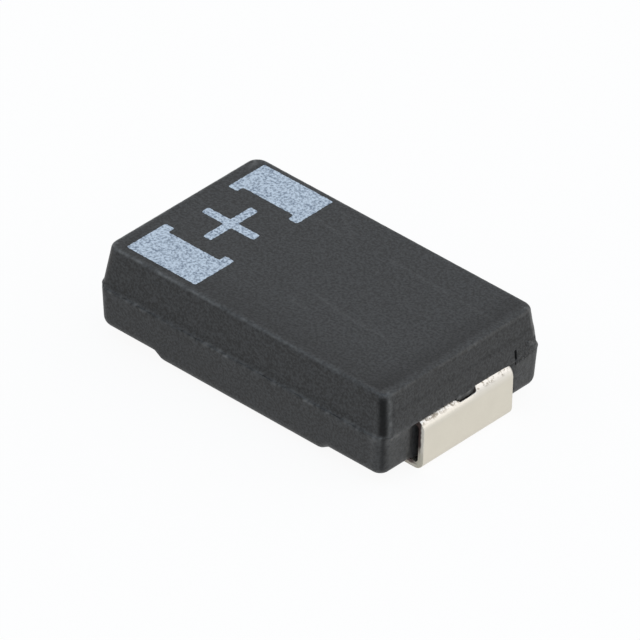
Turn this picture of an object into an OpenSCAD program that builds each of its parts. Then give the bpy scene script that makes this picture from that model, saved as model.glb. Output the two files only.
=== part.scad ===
// Moulded tantalum capacitor for surface mounting, metric case 7343-20, shown with all it holds inside.
// X runs from the anode end (-X, marked with a plus) to the cathode end (+X), and Z is up.
// The origin is the middle of the footprint, in the plane of the board.

/* [Overall] */
// Length over the outer faces of the two terminals
over_len = 7.3; // [7.0:0.05:7.6]
// Width of the case at the parting line, lower half
case_wid = 4.35; // [4.1:0.05:4.6]
// Height from the board to the top of the case
case_top = 1.91; // [1.86:0.01:2.1]
// Height of the parting line, where the lead frame leaves the case
parting_z = 1.06; // [0.98:0.01:1.08]

/* [Moulded case] */
// Draft of the upper half at the two ends, in degrees
upper_end_draft = 7.7; // [3:0.1:9]
// Draft of the upper half along the two sides, in degrees
upper_side_draft = 5.9; // [3:0.1:9]
// Draft of the lower half at the two ends, in degrees
lower_end_draft = 2.5; // [1:0.1:4]
// Draft of the lower half along the two sides, in degrees
lower_side_draft = 3.1; // [1:0.1:4]
// How far the lower half stands proud of the upper one along each side
side_step = 0.07; // [0.02:0.01:0.1]
// How far the upper half stands proud of the lower one at each end
end_step = 0.03; // [0.01:0.01:0.05]
// Height over which the step at the parting line is made
step_rise = 0.02; // [0.01:0.005:0.04]
// Radius of the four upright corners
corner_r = 0.25; // [0.23:0.01:0.35]
// Radius of the edge round the top
top_r = 0.07; // [0.04:0.01:0.12]
// Radius of the edge round the underside
base_r = 0.21; // [0.1:0.01:0.22]
// Gap between a strap and the end of the lower half
strap_gap = 0.01; // [0.01:0.01:0.04]
// Depth of the pocket behind each strap, from the strap's inner face
pocket_depth = 0.12; // [0.06:0.01:0.14]
// Gap between a strap's edge and the floor of its pocket
pocket_gap = 0.07; // [0.04:0.01:0.14]
// Width that the slope on each flank of a pocket takes up
pocket_flank_wid = 0.12; // [0.04:0.01:0.2]

/* [Underside] */
// Gap between a terminal's foot and the case above it
foot_gap = 0.045; // [0.02:0.005:0.08]
// Gap between the board and the pad in the middle of the underside
pad_gap = 0.06; // [0.04:0.01:0.1]
// Distance between a foot's tip and the start of the pad's slope
pad_to_foot = 0.23; // [0.1:0.01:0.4]
// Run of the slope at each end of the pad
pad_slope = 0.19; // [0.1:0.01:0.3]

/* [Gate scar] */
// Width of the scar where the runner was broken off the cathode end
gate_wid = 0.45; // [0.3:0.01:0.5]
// Height of the scar above the parting line
gate_hgt = 0.23; // [0.15:0.01:0.3]
// How far the scar stands out of the end face
gate_proud = 0.02; // [0.01:0.005:0.04]

/* [Terminals] */
// Width of the two terminals
term_wid = 2.4; // [2.2:0.05:2.5]
// Thickness of the lead frame
frame_t = 0.13; // [0.1:0.01:0.14]
// Inner radius of every bend in the lead frame
bend_r = 0.07; // [0.05:0.01:0.09]
// Length of each foot, from the strap's outer face
foot_len = 1.3; // [1.1:0.05:1.5]
// Width of the notch across each strap's upper bend
notch_wid = 0.6; // [0.4:0.02:0.8]
// Corner radius of the notch
notch_r = 0.12; // [0.06:0.01:0.16]
// How far the notch reaches round the bend, in degrees
notch_turn = 45; // [35:1:60]
// How far the notch runs into the case from the bend
notch_inside = 0.12; // [0.05:0.01:0.2]

/* [Inside the anode end] */
// Length from the strap's upper bend to the anode face of the slug
anode_room = 1.57; // [1.4:0.01:1.8]
// Diameter of the riser wire
wire_d = 0.24; // [0.2:0.01:0.3]
// Length of the riser wire held in the slug
wire_embed = 1.7; // [1.2:0.05:2.5]
// Length of riser wire welded along the anode tab
weld_len = 0.5; // [0.3:0.02:0.6]
// Depth of the flat that the weld presses into the riser wire
weld_flat = 0.015; // [0.01:0.005:0.03]
// Width of the anode tab behind its shoulders
tab_wid = 1.2; // [1.0:0.05:1.6]
// Distance between the anode bend and the tab's shoulders
shoulder = 0.25; // [0.22:0.01:0.35]
// Gap between the washer and the tip of the anode tab
tab_gap = 0.38; // [0.2:0.02:0.4]
// Diameter of the insulating washer
washer_d = 0.7; // [0.5:0.02:0.8]
// Thickness of the insulating washer
washer_t = 0.12; // [0.08:0.01:0.16]

/* [Slug and its coats] */
// Width of the sintered slug
slug_wid = 3.1; // [2.8:0.05:3.4]
// Height of the sintered slug
slug_hgt = 0.88; // [0.8:0.01:0.94]
// Radius along the slug's four long edges
slug_r = 0.15; // [0.08:0.01:0.2]
// Thickness of the solid electrolyte coat
electrolyte_t = 0.04; // [0.03:0.005:0.06]
// Thickness of the carbon coat
carbon_t = 0.02; // [0.015:0.005:0.03]
// Thickness of the silver coat
silver_t = 0.03; // [0.02:0.005:0.04]
// Distance by which each metal coat stops short of the one below it, at the anode face
coat_rim = 0.15; // [0.1:0.01:0.3]

/* [Inside the cathode end] */
// Thickness of the silver adhesive
glue_t = 0.03; // [0.02:0.005:0.05]
// Margin of bare tray round the adhesive
glue_margin = 0.15; // [0.1:0.01:0.3]
// Length of the cathode tray under the slug
tray_len = 3.2; // [2.6:0.1:3.8]
// Length of flat frame between the cathode's offset and its bend
exit_flat = 0.13; // [0.13:0.01:0.16]
// Angle of the offset that lowers the tray, in degrees
offset_turn = 50; // [44:1:60]
// Gap between the slug's silver coat and the start of the offset
slug_gap = 0.06; // [0.04:0.01:0.1]
// Radius of the tray's two free corners
tray_r = 0.3; // [0.1:0.05:0.5]

/* [Polarity mark] */
// Length of each of the two blocks, along the case
block_len = 1.7; // [1.4:0.05:1.9]
// Width of each block, without its serifs
block_wid = 0.84; // [0.6:0.02:0.9]
// Length of a serif at each end of a block
serif_len = 0.22; // [0.15:0.01:0.3]
// How far the serifs stand out towards the plus
serif_out = 0.16; // [0.1:0.01:0.2]
// Distance between a block and the edge of the top, at the side
block_inset = 0.18; // [0.14:0.01:0.3]
// Distance between a block and the edge of the top, at the end
mark_inset = 0.3; // [0.2:0.01:0.5]
// Length of the plus's arms, from tip to tip
plus_len = 1.28; // [1.0:0.02:1.3]
// Width of the plus's arms
plus_wid = 0.19; // [0.12:0.01:0.25]
// Depth of the marked layer
mark_t = 0.02; // [0.01:0.005:0.03]
// How far the whole mark sits off the centre line
mark_off = 0.05; // [0:0.01:0.08]

/* [Hidden] */
$fn = 48;

// Segments along each quarter turn of the case's corners and edges
turn_steps = 6;
// Length by which a cutter reaches past what it cuts
past = 0.5;
// Length by which a straight of the lead frame laps into a bend, and the depth of that lap under its faces
lap = 0.02;

// Case: half sizes at the parting line, lower half and upper half
lower_x = over_len / 2 - frame_t - strap_gap;
lower_y = case_wid / 2;
upper_x = lower_x + end_step;
upper_y = lower_y - side_step;
// Half sizes of the flat top
top_x = upper_x - (case_top - parting_z) * tan(upper_end_draft);
top_y = upper_y - (case_top - parting_z) * tan(upper_side_draft);
// Underside of the case above the feet
relief_z = frame_t + foot_gap;
// Half lengths of the pad, at its foot and at its face
pad_root_x = over_len / 2 - foot_len - pad_to_foot;
pad_face_x = pad_root_x - pad_slope;
// Floor of the pockets: its place along X and its half width
pocket_x = over_len / 2 - frame_t - pocket_depth;
pocket_floor_y = term_wid / 2 + pocket_gap;
// Centre of the straps' upper bends
bend_x = over_len / 2 - frame_t - bend_r;
bend_z = parting_z - frame_t - bend_r;

// Straight lengths of strap between its two bends, and of the foot
leg_len = bend_z - frame_t - bend_r;
foot_flat = foot_len - frame_t - bend_r;

// Riser wire, seated on the anode tab, and the slug centred on it
wire_z = parting_z + wire_d / 2 - weld_flat;
coats_t = electrolyte_t + carbon_t + silver_t;
silver_bottom = wire_z - slug_hgt / 2 - coats_t;
tray_top = silver_bottom - glue_t;

// Cathode offset: drop, slanted length and run along X
offset_drop = parting_z - tray_top;
offset_slant = (offset_drop - (2 * bend_r + frame_t) * (1 - cos(offset_turn))) / sin(offset_turn);
offset_run = (2 * bend_r + frame_t) * sin(offset_turn) + offset_slant * cos(offset_turn);
tray_end = bend_x - exit_flat - offset_run;

// Slug: its two ends fill the room between the anode end and the cathode's offset.
// The washer rests on the anode face, which is the electrolyte's.
anode_face = anode_room - bend_x;
slug_x0 = anode_face + electrolyte_t;
slug_x1 = tray_end - slug_gap - coats_t;
tab_tip = anode_face - washer_t - tab_gap;
wire_x0 = tab_tip - weld_len;
wire_x1 = slug_x0 + wire_embed;

// Polarity mark: centre of the plus and the blocks' outer edge
mark_x = -top_x + mark_inset + block_len / 2;
block_out = top_y - block_inset;

// One ring of the case: a rectangle of half sizes hx and hy with corners of radius r, at height z
function ring(hx, hy, r, z) = [
    for (corner = [0:3], step = [0:turn_steps])
        let (turn = 90 * (corner + step / turn_steps),
             sx = corner == 0 || corner == 3 ? 1 : -1,
             sy = corner < 2 ? 1 : -1)
        [sx * (hx - r) + r * cos(turn), sy * (hy - r) + r * sin(turn), z]
];

// The ring at height z of a half that drafts away from the parting line, taken in by inset
function half_ring(hx, hy, end_draft, side_draft, z, inset) =
    let (away = abs(z - parting_z))
    ring(hx - away * tan(end_draft) - inset, hy - away * tan(side_draft) - inset, corner_r - inset, z);

function lower_ring(z, inset) = half_ring(lower_x, lower_y, lower_end_draft, lower_side_draft, z, inset);
function upper_ring(z, inset) = half_ring(upper_x, upper_y, upper_end_draft, upper_side_draft, z, inset);

// Closed solid through a list of rings with the same number of points
module loft(rings) {
    n = len(rings[0]);
    last = len(rings) - 1;
    sides = [
        for (i = [0:last - 1], j = [0:n - 1])
            [i * n + j, (i + 1) * n + j, (i + 1) * n + (j + 1) % n, i * n + (j + 1) % n]
    ];
    bottom = [for (j = [0:n - 1]) j];
    top = [for (j = [n - 1:-1:0]) last * n + j];
    polyhedron([for (one = rings) each one], concat(sides, [bottom, top]), convexity = 4);
}

// The two moulded halves as one body: rounded underside, step at the parting line, rounded top
module case_body() {
    underside = [
        for (step = [0:turn_steps])
            let (turn = 90 * step / turn_steps)
            lower_ring(relief_z + base_r * (1 - cos(turn)), base_r * (1 - sin(turn)))
    ];
    parting = [lower_ring(parting_z - step_rise / 2, 0), upper_ring(parting_z + step_rise / 2, 0)];
    top_edge = [
        for (step = [0:turn_steps])
            let (turn = 90 * step / turn_steps)
            upper_ring(case_top - top_r * (1 - sin(turn)), top_r * (1 - cos(turn)))
    ];
    loft(concat(underside, parting, top_edge));
}

// Cross-section of the lower half over the pad, with the same draft as the sides and its own round edges
module pad_section() {
    root_z = relief_z + base_r;
    lean = tan(lower_side_draft);
    root_y = lower_y - (parting_z - root_z) * lean;
    round_z = pad_gap + base_r;
    round_y = lower_y - (parting_z - round_z) * lean - base_r;
    for (side = [-1, 1]) scale([side, 1]) {
        polygon([[0, pad_gap], [round_y, pad_gap], [round_y + base_r, round_z], [root_y, root_z], [0, root_z]]);
        intersection() {
            translate([round_y, round_z]) circle(base_r);
            translate([0, pad_gap]) square([lower_y, base_r]);
        }
    }
}

// Pad under the middle of the case, with a slope at each end
module pad() {
    intersection() {
        rotate([90, 0, 90]) linear_extrude(2 * pad_root_x + 2 * past, center = true) pad_section();
        rotate([90, 0, 0]) linear_extrude(case_wid + past, center = true)
            polygon([
                [-pad_face_x, pad_gap], [pad_face_x, pad_gap], [pad_root_x, relief_z],
                [pad_root_x, relief_z + base_r], [-pad_root_x, relief_z + base_r], [-pad_root_x, relief_z]
            ]);
    }
}

// Pocket in one end of the lower half, that the strap runs down in front of
module strap_pocket() {
    mouth_x = lower_x + end_step + past;
    mouth_y = pocket_floor_y + pocket_flank_wid * (mouth_x - pocket_x) / (lower_x - pocket_x);
    linear_extrude(parting_z) polygon([
        [pocket_x, -pocket_floor_y], [mouth_x, -mouth_y], [mouth_x, mouth_y], [pocket_x, pocket_floor_y]
    ]);
}

// Scar of the runner on the cathode end of the upper half
module gate_scar() {
    translate([upper_x, pocket_floor_y + pocket_flank_wid, parting_z + step_rise / 2])
        rotate([0, -upper_end_draft, 0])
            translate([-past, 0, 0]) cube([past + gate_proud, gate_wid, gate_hgt]);
}

// Everything that the moulding compound flows round
module contents() {
    anode_terminal();
    cathode_terminal();
    riser_wire();
    insulating_washer();
    silver_adhesive();
    coat_block(0, 0);
    coat_block(carbon_t, coat_rim);
    coat_block(carbon_t + silver_t, 2 * coat_rim);
}

module moulded_case() {
    color("#2c2e30") difference() {
        union() {
            case_body();
            pad();
            gate_scar();
        }
        for (end = [0, 1]) mirror([end, 0, 0]) strap_pocket();
        contents();
        polarity_mark();
    }
}

// Quarter or smaller sector of a bend, from angle start over angle sweep, both in degrees
module bend_sector(start, sweep) {
    outer = bend_r + frame_t;
    reach = 2 * outer;
    intersection() {
        difference() {
            circle(outer);
            circle(bend_r);
        }
        polygon([
            [0, 0],
            for (part = [0, 0.5, 1]) reach * [cos(start + part * sweep), sin(start + part * sweep)]
        ]);
    }
}

// Folded strip of lead frame seen from its edge: each step is a straight length and the turn after it.
// A core inside each straight laps into the bends beside it.
module folded_strip(steps, i = 0) {
    straight = steps[i][0];
    turn = steps[i][1];
    lap_before = i > 0 ? lap : 0;
    lap_after = turn != 0 ? lap : 0;
    square([straight, frame_t]);
    translate([-lap_before, lap]) square([lap_before + straight + lap_after, frame_t - 2 * lap]);
    if (turn > 0)
        translate([straight, frame_t + bend_r]) {
            bend_sector(-90, turn);
            rotate(turn) translate([0, -frame_t - bend_r]) folded_strip(steps, i + 1);
        }
    if (turn < 0)
        translate([straight, -bend_r]) {
            bend_sector(90, turn);
            rotate(turn) translate([0, bend_r]) folded_strip(steps, i + 1);
        }
}

// The same strip at its full width, with its first point at x and z
module strap(x, z, steps) {
    translate([x, 0, z]) rotate([90, 0, 0]) linear_extrude(term_wid, center = true) folded_strip(steps);
}

// Notch across the upper bend of the strap at the +X end: square inside the case, rounded where it ends
module bend_notch() {
    outer = bend_r + frame_t;
    translate([bend_x - notch_inside, -notch_wid / 2, bend_z + bend_r / 2])
        cube([notch_inside, notch_wid, outer]);
    translate([bend_x, 0, bend_z]) rotate([0, notch_turn, 0])
        translate([0, 0, bend_r / 2]) linear_extrude(outer) {
            translate([-outer, -notch_wid / 2]) square([outer - notch_r, notch_wid]);
            translate([-outer, notch_r - notch_wid / 2]) square([outer, notch_wid - 2 * notch_r]);
            for (side = [-1, 1]) translate([-notch_r, side * (notch_wid / 2 - notch_r)]) circle(notch_r);
        }
}

module anode_terminal() {
    tab_len = bend_x + tab_tip;
    spare_y = (term_wid - tab_wid) / 2;
    color("#d5d0c4") mirror([1, 0, 0]) difference() {
        strap(-tab_tip, parting_z - frame_t, [[tab_len, -90], [leg_len, -90], [foot_flat, 0]]);
        bend_notch();
        for (side = [-1, 1])
            translate([-tab_tip - past, side * (tab_wid + spare_y + past) / 2 - (spare_y + past) / 2, bend_z + bend_r / 2])
                cube([tab_len - shoulder + past, spare_y + past, frame_t + bend_r]);
    }
}

// One free corner of the tray, as the piece that is cut away
module tray_corner(side) {
    translate([tray_end - tray_len, side * term_wid / 2, tray_top - frame_t - past / 2])
        linear_extrude(frame_t + past) difference() {
            square(2 * tray_r, center = true);
            translate([tray_r, -side * tray_r]) circle(tray_r);
        }
}

module cathode_terminal() {
    color("#d5d0c4") difference() {
        strap(tray_end - tray_len, tray_top - frame_t,
              [[tray_len, offset_turn], [offset_slant, -offset_turn], [exit_flat, -90], [leg_len, -90], [foot_flat, 0]]);
        bend_notch();
        for (side = [-1, 1]) tray_corner(side);
    }
}

// Block with the slug's section grown by t on every side; it starts back from the anode face
module coat_block(t, back) {
    grown = electrolyte_t + t;
    x0 = anode_face + back;
    wid = slug_wid + 2 * grown;
    hgt = slug_hgt + 2 * grown;
    r = slug_r + grown;
    translate([x0, 0, wire_z]) rotate([90, 0, 90])
        linear_extrude(slug_x1 + grown - x0) rounded_rectangle(wid, hgt, r);
}

module rounded_rectangle(wid, hgt, r) {
    square([wid, hgt - 2 * r], center = true);
    square([wid - 2 * r, hgt], center = true);
    for (sx = [-1, 1], sy = [-1, 1])
        translate([sx * (wid / 2 - r), sy * (hgt / 2 - r)]) circle(r);
}

// Straight round bar along X
module bar(x0, x1, d) {
    translate([x0, 0, wire_z]) rotate([0, 90, 0]) cylinder(h = x1 - x0, d = d);
}

module riser_wire() {
    color("#8d9096") difference() {
        bar(wire_x0, wire_x1, wire_d);
        translate([wire_x0 - past, -wire_d, parting_z - wire_d]) cube([weld_len + past, 2 * wire_d, wire_d]);
    }
}

module insulating_washer() {
    color("#eef0ee") difference() {
        bar(anode_face - washer_t, anode_face, washer_d);
        bar(anode_face - past, anode_face + past, wire_d);
    }
}

module slug_block() {
    translate([slug_x0, 0, wire_z]) rotate([90, 0, 90])
        linear_extrude(slug_x1 - slug_x0) rounded_rectangle(slug_wid, slug_hgt, slug_r);
}

module anode_slug() {
    color("#6e7276") difference() {
        slug_block();
        bar(slug_x0 - past, wire_x1, wire_d);
    }
}

module electrolyte_coat() {
    color("#1b1d22") difference() {
        coat_block(0, 0);
        slug_block();
        bar(anode_face - past, slug_x0 + past, wire_d);
    }
}

module carbon_coat() {
    color("#37393b") difference() {
        coat_block(carbon_t, coat_rim);
        coat_block(0, 0);
    }
}

module silver_coat() {
    color("#b9bbbd") difference() {
        coat_block(carbon_t + silver_t, 2 * coat_rim);
        coat_block(carbon_t, coat_rim);
    }
}

module silver_adhesive() {
    glue_wid = term_wid - 2 * glue_margin;
    color("#a3a6a9") translate([tray_end - tray_len + glue_margin, -glue_wid / 2, tray_top])
        cube([tray_len - 2 * glue_margin, glue_wid, glue_t]);
}

// One block of the mark, on the +Y side, with a serif at each end of its inner edge
module mark_block() {
    translate([-block_len / 2, block_out - block_wid]) square([block_len, block_wid]);
    for (end = [-1, 1])
        translate([end * (block_len - serif_len) / 2, block_out - block_wid - serif_out / 2])
            square([serif_len, serif_out], center = true);
}

module polarity_mark() {
    color("#a6b5c6") translate([mark_x, mark_off, case_top - mark_t]) linear_extrude(mark_t) {
        for (side = [0, 1]) mirror([0, side]) mark_block();
        square([plus_len, plus_wid], center = true);
        square([plus_wid, plus_len], center = true);
    }
}

moulded_case();
anode_terminal();
cathode_terminal();
riser_wire();
insulating_washer();
anode_slug();
electrolyte_coat();
carbon_coat();
silver_coat();
silver_adhesive();
polarity_mark();
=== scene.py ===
import math

import bmesh
import bpy
from mathutils import Matrix, Vector, noise


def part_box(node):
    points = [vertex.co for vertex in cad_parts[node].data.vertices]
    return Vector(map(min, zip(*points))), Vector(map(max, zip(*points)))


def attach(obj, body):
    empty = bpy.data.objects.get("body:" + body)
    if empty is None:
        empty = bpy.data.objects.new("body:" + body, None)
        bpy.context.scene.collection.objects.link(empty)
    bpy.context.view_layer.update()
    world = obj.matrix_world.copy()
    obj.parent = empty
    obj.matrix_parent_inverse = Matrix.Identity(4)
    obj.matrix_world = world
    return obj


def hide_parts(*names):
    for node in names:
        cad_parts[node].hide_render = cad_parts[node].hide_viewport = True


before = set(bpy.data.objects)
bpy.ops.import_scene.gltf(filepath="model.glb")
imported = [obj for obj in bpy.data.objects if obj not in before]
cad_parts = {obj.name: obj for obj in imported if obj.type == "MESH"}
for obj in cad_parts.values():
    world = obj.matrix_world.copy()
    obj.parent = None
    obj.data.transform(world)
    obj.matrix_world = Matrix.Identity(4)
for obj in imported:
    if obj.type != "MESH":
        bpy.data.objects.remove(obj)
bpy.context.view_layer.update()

# Moulded tantalum capacitor for surface mounting. X runs from the anode end, marked with a plus, to the
# cathode end, Y from the near side to the far side, and Z up from the circuit board.
# Lengths are in millimetres, and MM turns them into metres.
MM = 0.001


# ---------------------------------------------------------------- sizes

case_low, case_high = (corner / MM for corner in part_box("moulded_case"))
term_low, term_high = (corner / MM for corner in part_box("cathode_terminal"))

PARTING_Z = 1.06
UPPER_END_DRAFT = math.radians(7.7)
UPPER_SIDE_DRAFT = math.radians(5.9)
LOWER_END_DRAFT = math.radians(2.5)
LOWER_SIDE_DRAFT = math.radians(3.1)
CORNER_R = 0.25
TOP_R = 0.07
BASE_R = 0.21

# The lower half is a step wider than the upper half along each side, and a step shorter at each end
SIDE_STEP = 0.07
END_STEP = 0.03

# Lead frame: sheet of one thickness, folded over one inner radius. The case stays clear of its feet.
FRAME_T = 0.13
BEND_R = 0.07
FOOT_LEN = 1.3
FOOT_GAP = 0.045

# Pocket behind each strap, in the end of the lower half: its depth, its room beside the strap, its flank, how
# much further that is softened, and the length over which it slopes
POCKET_DEPTH = 0.12
POCKET_GAP = 0.07
POCKET_FLANK = 0.12
POCKET_SOFTENED = 0.09
POCKET_SLOPE = 0.36

# Pad under the middle: where its face ends, and where the slope beside it ends
PAD_FACE_X = 1.93
PAD_ROOT_X = 2.12

CASE_TOP = case_high.z
PAD_Z = case_low.z
RELIEF_Z = FRAME_T + FOOT_GAP
UPPER_X = -case_low.x
LOWER_X = UPPER_X - END_STEP
LOWER_Y = case_high.y
UPPER_Y = LOWER_Y - SIDE_STEP

TERM_WID = term_high.y - term_low.y
POCKET_X = term_high.x - FRAME_T - POCKET_DEPTH
POCKET_FLOOR_Y = TERM_WID / 2 + POCKET_GAP
POCKET_MOUTH_Y = POCKET_FLOOR_Y + POCKET_FLANK + POCKET_SOFTENED

# Middle of each strap's upper bend, the length of its leg between both bends, the flat of its foot, and the
# radius of a bend down the middle of the sheet
BEND_X = term_high.x - FRAME_T - BEND_R
BEND_Z = PARTING_Z - FRAME_T - BEND_R
LEG_LEN = BEND_Z - FRAME_T - BEND_R
FOOT_FLAT = FOOT_LEN - FRAME_T - BEND_R
MIDDLE_R = BEND_R + FRAME_T / 2


# ---------------------------------------------------------------- small sums

def share(value):
    """The value, held between 0 and 1."""
    return min(1, max(0, value))


def bell(value, centre, width):
    """1 at the centre, falling away smoothly on both sides."""
    return math.exp(-((value - centre) / width) ** 2)


def even(low, high, count):
    """Evenly spaced values after low, the last of them high."""
    return [low + (high - low) * i / count for i in range(1, count + 1)]


def quarter_turn(count):
    """Angles from nothing to a right angle, both included."""
    return [math.radians(90 * i / count) for i in range(count + 1)]


def unevenness(point, size, seed=0):
    """Smooth noise from -1 to 1 whose lumps are about size millimetres across."""
    return noise.noise(Vector(point) / size + Vector((seed, 7 * seed, 3)))


def towards(azimuth, elevation):
    """Unit vector from the part to a place in the studio. Both angles are in degrees, and azimuth is turned
    from -Y towards +X."""
    a, e = math.radians(azimuth), math.radians(elevation)
    return Vector((math.sin(a) * math.cos(e), -math.cos(a) * math.cos(e), math.sin(e)))


# ---------------------------------------------------------------- nodes, and dressing a piece

def linear(colour):
    """Linear RGBA of an sRGB hex colour such as '#2c2e30'."""
    parts = [int(colour[i:i + 2], 16) / 255 for i in (1, 3, 5)]
    return [p / 12.92 if p <= 0.04045 else ((p + 0.055) / 1.055) ** 2.4 for p in parts] + [1]


def add(tree, kind, settings=None, links=None, stops=(), **traits):
    """Adds one node: traits are its own properties, settings the values of its sockets, links what is joined
    to its sockets, and stops the places and colours along its ramp."""
    made = tree.nodes.new(kind)
    for name, value in traits.items():
        setattr(made, name, value)
    for name, value in (settings or {}).items():
        made.inputs[name].default_value = value
    for name, socket in (links or {}).items():
        tree.links.new(socket, made.inputs[name])
    for at, (position, colour) in enumerate(stops):
        made.color_ramp.elements[at].position = position
        made.color_ramp.elements[at].color = linear(colour)
    return made


def start_material(name):
    """New material with an empty node tree, and that tree."""
    material = bpy.data.materials.new(name)
    material.use_nodes = True
    material.node_tree.nodes.clear()
    return material, material.node_tree


def dress(piece, material):
    """Gives a piece one material, in place of any that it has."""
    piece.data.materials.clear()
    piece.data.materials.append(material)


# ---------------------------------------------------------------- camera and studio

def aim_camera():
    """Long lens, looking down on the cathode end and the near side."""
    azimuth, elevation, roll = 41.4, 35.27, math.radians(1.83)
    aim = Vector((0.161, -0.161, 1.079)) * MM
    distance = 231.8 * MM
    back = towards(azimuth, elevation)
    level = Vector((math.cos(math.radians(azimuth)), math.sin(math.radians(azimuth)), 0))
    upright = back.cross(level)
    right = math.cos(roll) * level + math.sin(roll) * upright
    up = math.cos(roll) * upright - math.sin(roll) * level
    camera = bpy.data.objects.new("camera", bpy.data.cameras.new("camera"))
    camera.data.lens = 720.1
    camera.data.sensor_width = 36
    camera.data.clip_start = 0.01
    camera.data.clip_end = 10
    turn = Matrix((right, up, back)).transposed().to_4x4()
    camera.matrix_world = Matrix.Translation(aim + back * distance) @ turn
    bpy.context.scene.collection.objects.link(camera)
    bpy.context.scene.camera = camera


def direct_rays(tree):
    """1 for rays that come from the camera, a reflection or a clear material, and 0 for the rest."""
    rays = add(tree, "ShaderNodeLightPath")
    shiny = add(tree, "ShaderNodeMath", links={
        0: rays.outputs["Is Glossy Ray"], 1: rays.outputs["Is Transmission Ray"]}, operation="MAXIMUM")
    both = add(tree, "ShaderNodeMath", links={
        0: rays.outputs["Is Camera Ray"], 1: shiny.outputs[0]}, operation="MAXIMUM")
    return both.outputs[0]


def white_floor():
    """Sheet of matte white paper, a hair under the feet. The camera sees it as plain white, with a trace of
    the part's shadow."""
    half, level = 0.25, -0.01 * MM
    mesh = bpy.data.meshes.new("floor")
    corners = [(-half, -half, level), (half, -half, level), (half, half, level), (-half, half, level)]
    mesh.from_pydata(corners, [], [(0, 1, 2, 3)])
    floor = bpy.data.objects.new("floor", mesh)
    bpy.context.scene.collection.objects.link(floor)
    material, tree = start_material("white_paper")
    paper = add(tree, "ShaderNodeBsdfDiffuse", {"Color": linear("#ffffff")})
    glow = add(tree, "ShaderNodeEmission", {"Color": linear("#ffffff"), "Strength": 1})
    seen = add(tree, "ShaderNodeMath", {1: 0.93}, {0: direct_rays(tree)}, operation="MULTIPLY")
    surface = add(tree, "ShaderNodeMixShader", links={
        "Fac": seen.outputs[0], 1: paper.outputs["BSDF"], 2: glow.outputs["Emission"]})
    add(tree, "ShaderNodeOutputMaterial", links={"Surface": surface.outputs["Shader"]})
    dress(floor, material)


def softbox(name, azimuth, elevation, distance, wide, high, radiance, tint):
    """Rectangular soft light that faces the part. Its distance and its sides are in metres."""
    data = bpy.data.lights.new(name, "AREA")
    data.color = linear(tint)[:3]
    data.shape = "RECTANGLE"
    data.size = wide
    data.size_y = high
    data.energy = radiance * math.pi * wide * high
    lamp = bpy.data.objects.new(name, data)
    back = towards(azimuth, elevation)
    lamp.location = back * distance
    lamp.rotation_euler = back.to_track_quat("Z", "Y").to_euler()
    bpy.context.scene.collection.objects.link(lamp)


def light_studio():
    """A cool light overhead, a warm one behind the cathode end and a weak one on the near side, in a white
    room that lights the part less than it shows."""
    softbox("overhead", 20, 84, 0.35, 0.40, 0.40, 0.80, "#9ed2ff")
    softbox("right", 137, 33, 0.30, 0.42, 0.30, 1.0, "#fff8ee")
    softbox("left", -43, 38, 0.30, 0.26, 0.22, 0.6, "#fffdfa")
    world = bpy.data.worlds.new("studio")
    world.use_nodes = True
    tree = world.node_tree
    tree.nodes.clear()
    level = add(tree, "ShaderNodeMapRange", {"From Min": 0, "From Max": 1, "To Min": 0.45, "To Max": 1.0},
                {"Value": direct_rays(tree)})
    glow = add(tree, "ShaderNodeBackground", {"Color": linear("#ffffff")},
               {"Strength": level.outputs["Result"]})
    add(tree, "ShaderNodeOutputWorld", links={"Surface": glow.outputs["Background"]})
    bpy.context.scene.world = world


# ---------------------------------------------------------------- materials

# A Mix node's colours: its first and second input, and its output
FIRST, SECOND, MIXED = 6, 7, 2


def per_mm(size):
    """Texture scale for a pattern that repeats every so many millimetres."""
    return 1 / (size * MM)


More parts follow.
